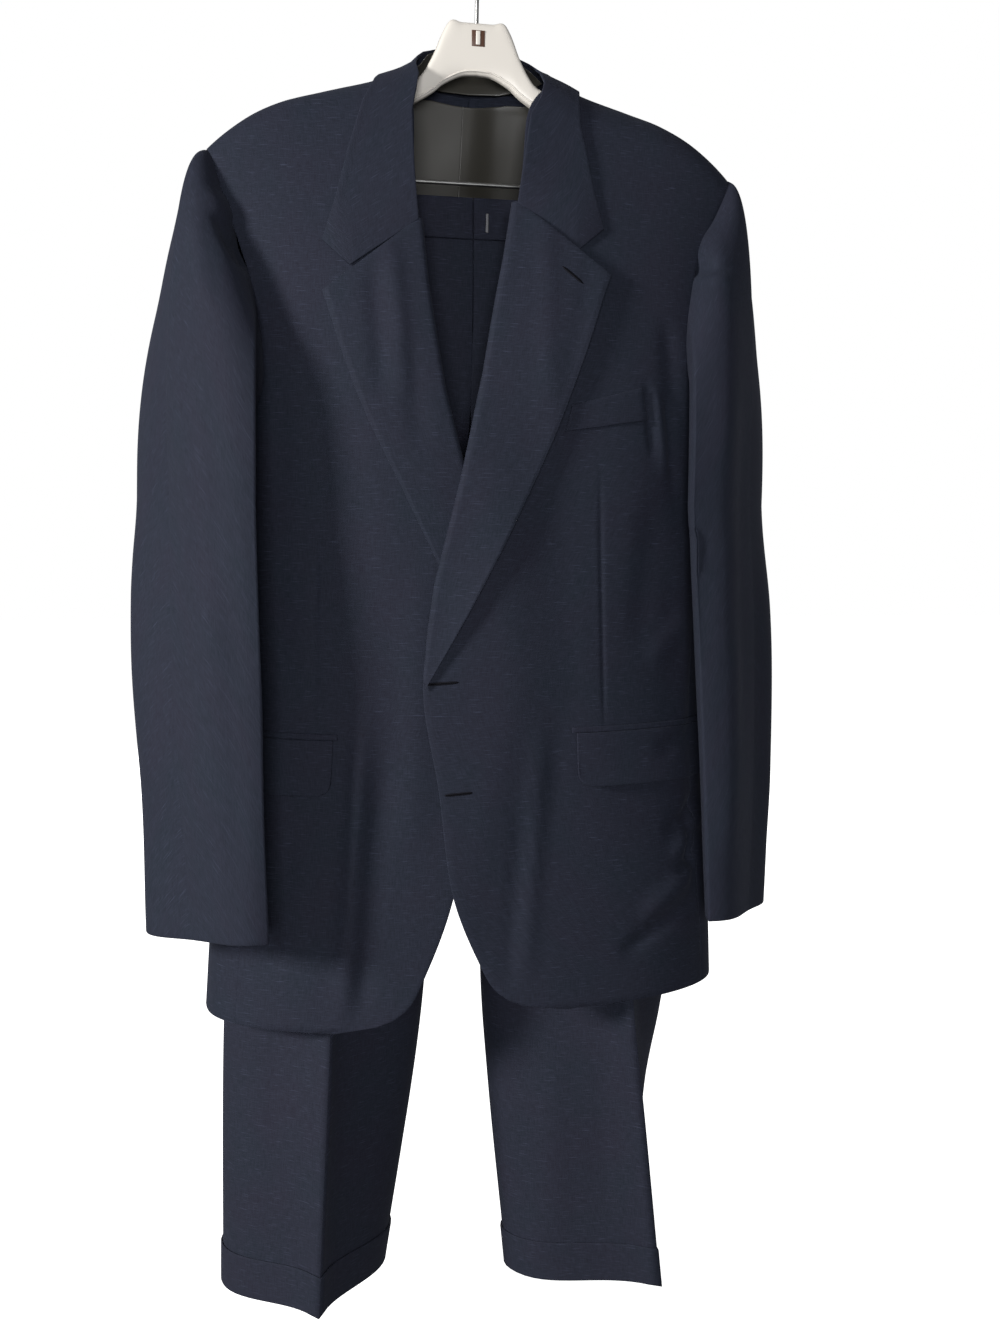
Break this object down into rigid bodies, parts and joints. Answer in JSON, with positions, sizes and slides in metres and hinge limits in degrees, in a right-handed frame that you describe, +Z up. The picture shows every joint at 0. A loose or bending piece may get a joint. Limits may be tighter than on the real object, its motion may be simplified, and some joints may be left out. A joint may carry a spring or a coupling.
{
  "type": "two-piece suit on a hanger",
  "caption": "Single-breasted, notch-lapel suit jacket over trousers with turn-ups, in dark navy worsted, on a moulded suit hanger with a trouser bar and a wire hook.",
  "frame": {"origin": "inside of the hook at its top, where the hanger rests on a rail", "axes": "+Z up, along the hanging suit; +X towards the wearer's left, along the hanger; -Y the suit's front"},
  "size_m": [0.6016, 0.2263, 1.2477],
  "materials": {
    "worsted": "matt fine worsted with slubs",
    "trouser_worsted": "matt fine worsted with slubs",
    "lining": "satin",
    "ivory_plastic": "satin",
    "brown_plastic": "satin",
    "bright_steel": "polished",
    "buttons": "polished"
  },
  "bodies": {
    "root": {"jacket_front_right": "worsted", "jacket_front_left": "worsted", "jacket_back_right": "worsted", "jacket_back_left": "worsted", "jacket_side_right": "worsted", "jacket_side_left": "worsted", "sleeve_top_right": "worsted", "sleeve_under_right": "worsted", "sleeve_top_left": "worsted", "sleeve_under_left": "worsted", "lapel_right": "worsted", "lapel_left": "worsted", "collar_fall": "worsted", "collar_stand": "worsted", "chest_welt": "worsted", "flap_right": "worsted", "flap_left": "worsted", "jetting_right": "worsted", "jetting_left": "worsted", "trouser_front_right": "trouser_worsted", "trouser_front_left": "trouser_worsted", "trouser_back_right": "trouser_worsted", "trouser_back_left": "trouser_worsted", "waistband_front_right": "trouser_worsted", "waistband_front_left": "trouser_worsted", "waistband_back": "trouser_worsted", "turn_up_right": "trouser_worsted", "turn_up_left": "trouser_worsted", "back_lining_right": "lining", "back_lining_left": "lining", "button_upper": "buttons", "button_lower": "buttons", "fly_hook": "bright_steel", "trouser_clip_right": "bright_steel", "trouser_clip_left": "bright_steel", "hanger_body": "ivory_plastic", "hook_plate": "brown_plastic", "hanger_hook": "bright_steel", "trouser_bar": "bright_steel"}
  },
  "joints": []
}
